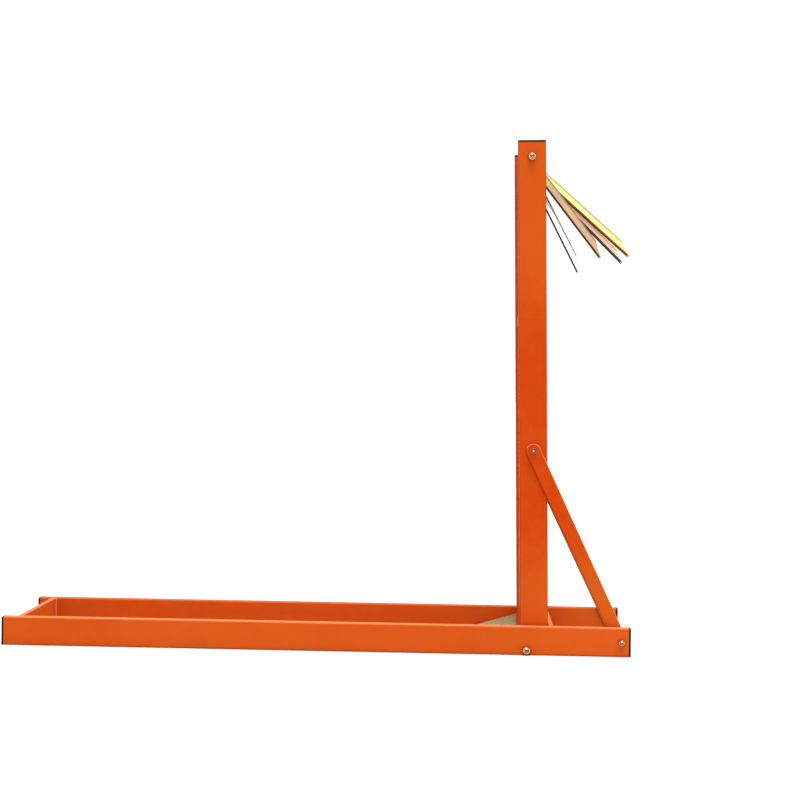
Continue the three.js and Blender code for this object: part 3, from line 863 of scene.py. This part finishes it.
def bolt(node, m, s):
    """A bolt whose shank points to side s. Its head's pressing face is found from the node's box."""
    low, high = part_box(node)
    reach = high.y - low.y - m["head"]
    face = low.y + m["head"] if s > 0 else high.y - m["head"]

    def paint(along, off):
        # the middle of the end and the sides of the head get painted shade
        if along > reach - 0.2 * m["d"]:
            return END if off < 0.42 * m["d"] else PLAIN
        if along < 0:
            return SIDE_SHADE if off > 0.1 * m["af"] else PLAIN
        return PLAIN

    fastener(node, bolt_mesh(m, reach), toward(s), face, "threaded", paint=paint)


def nut(node, m, s):
    low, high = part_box(node)

    def paint(along, off):
        # all but the middle of the nut's outer face gets painted shade
        return PLAIN if along > 0.9 * m["nut"] and off < NUT_UNSHADED * m["af"] else SIDE_SHADE

    fastener(node, nut_mesh(m), toward(s), low.y if s > 0 else high.y, "hex", paint=paint)


def rings_on(node, inner, slot=YELLOW):
    low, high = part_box(node)
    mesh = ring_mesh(inner, (high.x - low.x) / 2, high.y - low.y)
    fastener(node, mesh, TO_REAR, low.y, "ring", slot)


def fasteners():
    for side, s in SIDES:
        bolt(f"{side}_foot_bolt", M8, s)
        rings_on(f"{side}_foot_washer", clear[8])
        nut(f"{side}_foot_nut", M8, s)
        bolt(f"{side}_brace_bolt", M6, -s)
        rings_on(f"{side}_brace_washer", clear[6])
        nut(f"{side}_brace_nut", M6, -s)
        bolt(f"{side}_brace_foot_bolt", M6, s)
        nut(f"{side}_brace_foot_nut", M6, s)
        rings_on(f"{side}_axle_sleeve", clear[8], BRIGHT)
    for i in (1, 2, 3):
        rings_on(f"axle_ring_{i}", clear[8], BRIGHT)
    bolt("axle_bolt", M8, -1)
    nut("axle_nut", M8, -1)


# ---- claws --------------------------------------------------------------------------------
def channel_chains(less):
    """The bent channel's outer and inner outlines in Y and Z, web on top, each drawn in by less."""
    corner = CLAW_EDGE

    def chain(half, top, bend, turn):
        """From one side's lower edge over the web to the other; turn is -1 for the outer outline."""
        low = less - CLAW_H / 2
        points = []
        for i in range(CLAW_EDGE_STEPS + 1):
            t = math.pi / 2 * i / CLAW_EDGE_STEPS
            points.append((half + turn * corner * (1 - math.sin(t)), low + corner * (1 - math.cos(t))))
        start, finish = low + corner, top - bend
        for i in range(1, CLAW_SIDE_STEPS):
            points.append((half, start + (finish - start) * i / CLAW_SIDE_STEPS))
        for i in range(CLAW_BEND_STEPS + 1):
            t = math.pi / 2 * i / CLAW_BEND_STEPS
            points.append((half - bend + bend * math.cos(t), finish + bend * math.sin(t)))
        return points + [(-y, z) for y, z in reversed(points)]

    outer = chain(CLAW_W / 2 - less, CLAW_H / 2 - less, CLAW_BEND - less, -1)
    wall = CLAW_WALL - less
    inner = chain(CLAW_W / 2 - wall, CLAW_H / 2 - wall, CLAW_BEND - CLAW_WALL + less, 1)
    return outer, inner


def claw_mesh(reach):
    h = CLAW_H / 2
    edge = CLAW_EDGE
    near_bore = 8 * MM

    def back(z):
        return h - CLAW_BACK - math.sqrt(max(0.0, h * h - z * z))

    def point(z):
        return reach - max(0.0, z + h - CLAW_BLUNT) / math.tan(CLAW_BEVEL)

    stations = [
        (edge, back), (0.3 * edge, lambda z: back(z) + 0.3 * edge), (0, lambda z: back(z) + edge),
        (0, lambda z: near_bore), (0, lambda z: point(z) - 2 * edge),
        (0.3 * edge, lambda z: point(z) - 0.6 * edge), (edge, point),
    ]
    mesh = bmesh.new()
    rows = []
    for less, along in stations:
        chains = channel_chains(less)
        rows.append([[mesh.verts.new((along(z), y, z)) for y, z in chain] for chain in chains])
    for (outer_a, inner_a), (outer_b, inner_b) in zip(rows, rows[1:]):
        ring_a = outer_a + inner_a[::-1]
        ring_b = outer_b + inner_b[::-1]
        for i in range(len(ring_a)):
            mesh.faces.new((ring_a[i - 1], ring_a[i], ring_b[i], ring_b[i - 1]))
    for outer, inner in (rows[0], rows[-1]):
        for i in range(1, len(outer)):
            mesh.faces.new((outer[i - 1], outer[i], inner[i], inner[i - 1]))
    bmesh.ops.recalc_face_normals(mesh, faces=mesh.faces)
    return mesh


def claws():
    for joint in frame["joints"]:
        node = joint["child"]
        reach, down = CLAWS[node]
        claw = made(f"{node}_channel", claw_mesh(reach))
        drill(claw, round_cutter(CLAW_BORE, 0, 0, -CLAW_W, CLAW_W))
        tints, shade_reach = CHANNEL_SHADES[node]
        metal = CHALKY_METAL if node == CHALKY_CLAW else 1.0
        # the second look is painted shade inside the channel and along its lower edges
        looks = [plated(f"{node}_plating", CLAW_TINTS[node], 0.12, 0.22, metal),
                 plated(f"{node}_inside", tints, 0.5, 0.7)]
        finished(claw, YELLOW, node, node, looks=looks)
        for face in claw.data.polygons:
            face.material_index = int(in_channel(face.center, shade_reach))
        at = Matrix.Translation(joint["pos_m"])
        claw.data.transform(at @ Matrix.Rotation(math.radians(down), 4, "Y"))


def in_channel(p, shade_reach):
    """Inside the channel or along the lower edges of its sides, where the painted shade goes."""
    skin = 0.9 * CLAW_WALL
    inside = abs(p.y) < CLAW_W / 2 - skin and p.z < CLAW_H / 2 - skin
    return inside or p.z < shade_reach - CLAW_H / 2


# ---- welds --------------------------------------------------------------------------------
WELD_RADIUS = 2.4 * MM
WELD_RIPPLE = 2.3 * MM
WELD_TAPER = 2.2 * MM
WELD_STEP = 0.45 * MM
WELD_SIDES = 20


def weld(name, start, end):
    """A painted weld bead between two points: overlapping ripples of uneven width, tapered ends."""
    start, end = Vector(start), Vector(end)
    line = end - start
    turn = line.to_track_quat("Z", "Y").to_matrix().to_4x4()
    length = line.length
    count = max(8, round(length / WELD_STEP))
    rings = []
    for k in range(count + 1):
        z = length * k / count
        ends = min(1.0, (z + 0.3 * MM) / WELD_TAPER, (length - z + 0.3 * MM) / WELD_TAPER)
        wave = abs(math.sin(math.pi * z / WELD_RIPPLE + 0.4 * math.sin(z / (7 * MM))))
        drift = 1 + 0.06 * math.sin(z / (4.1 * MM)) + 0.04 * math.sin(z / (1.9 * MM) + 1)
        r = WELD_RADIUS * math.sqrt(ends) * (0.86 + 0.14 * wave) * drift
        rings.append(circle_ring(r, z, WELD_SIDES))
    bead = made(name, loft(rings), Matrix.Translation(start) @ turn)
    finished(bead, PAINT, angle=70, looks=[WELD_PAINT])


def welds():
    for node, edge in (("end_cross_bar", BAR_EDGE), ("post_stop_bar", BAR_EDGE), ("log_seat", CORNER)):
        low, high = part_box(node)
        for side, y in (("front", low.y - FIT), ("rear", high.y + FIT)):
            for hand, x in (("left", low.x), ("right", high.x)):
                weld(f"{node}_weld_{side}_{hand}", (x, y, low.z + edge), (x, y, high.z - edge))
            if node == "log_seat":
                weld(f"{node}_weld_{side}_under", (low.x + edge, y, low.z), (high.x - edge, y, low.z))


# ---- stage, light and camera ------------------------------------------------------------------
CAMERA_AT = (0.264, -3.305, 0.497)
CAMERA_YAW, CAMERA_DOWN, CAMERA_ROLL = 2.11, 0.83, 0.82  # degrees
CAMERA_LENS = 79.7
FLOOR_HALF = 30.0
SUN_STRENGTH = 7.6
SUN_WIDTH = math.radians(55)
SUN_SHINES = (-0.06, 0.03, -1)
ROOM_IN_FRONT, ROOM_BEHIND, ROOM_OVERHEAD = 1.6, 1.04, 0.65


def camera():
    data = bpy.data.cameras.new("camera")
    data.lens = CAMERA_LENS
    data.sensor_width = 36
    obj = bpy.data.objects.new("camera", data)
    turn = (
        Matrix.Rotation(math.radians(CAMERA_YAW), 4, "Z")
        @ Matrix.Rotation(math.radians(90 - CAMERA_DOWN), 4, "X")
        @ Matrix.Rotation(math.radians(CAMERA_ROLL), 4, "Z")
    )
    obj.matrix_world = Matrix.Translation(CAMERA_AT) @ turn
    bpy.context.scene.collection.objects.link(obj)
    bpy.context.scene.camera = obj


def floor():
    """A pale floor, flat under and round the object."""
    mesh = bmesh.new()
    corners = ((-1, -1), (1, -1), (1, 1), (-1, 1))
    mesh.faces.new([mesh.verts.new((FLOOR_HALF * x, FLOOR_HALF * y, 0)) for x, y in corners])
    obj = made("floor", mesh)
    obj.data.materials.append(pale_floor())


def soft_sun():
    """A wide soft light from above, a little to the front."""
    data = bpy.data.lights.new("overhead", "SUN")
    data.energy = SUN_STRENGTH
    data.angle = SUN_WIDTH
    obj = bpy.data.objects.new("overhead", data)
    obj.rotation_euler = Vector(SUN_SHINES).to_track_quat("-Z", "Y").to_euler()
    bpy.context.scene.collection.objects.link(obj)


def bright_room():
    """White all round: brightest in front, and dimmest overhead."""
    world = bpy.data.worlds.new("studio")
    bpy.context.scene.world = world
    world.use_nodes = True
    nodes, links = world.node_tree.nodes, world.node_tree.links
    split = nodes.new("ShaderNodeSeparateXYZ")
    links.new(nodes.new("ShaderNodeTexCoord").outputs["Generated"], split.inputs["Vector"])

    def level(value, low, high, to_low, to_high):
        made = nodes.new("ShaderNodeMapRange")
        made.interpolation_type = "SMOOTHSTEP"
        links.new(value, made.inputs["Value"])
        for key, number in range_ends(low, high, to_low, to_high).items():
            if isinstance(number, bpy.types.NodeSocket):
                links.new(number, made.inputs[key])
            else:
                made.inputs[key].default_value = number
        return made.outputs["Result"]

    horizon = level(split.outputs["Y"], -0.9, -0.3, ROOM_IN_FRONT, ROOM_BEHIND)
    background = nodes["Background"]
    background.inputs["Color"].default_value = (1, 1, 1, 1)
    strength = level(split.outputs["Z"], 0.12, 0.70, horizon, ROOM_OVERHEAD)
    links.new(strength, background.inputs["Strength"])


base_rails()
posts()
cross_bars()
log_seat()
caps()
braces()
gussets()
fasteners()
claws()
welds()
camera()
floor()
soft_sun()
bright_room()
bpy.context.scene.view_settings.view_transform = "Standard"
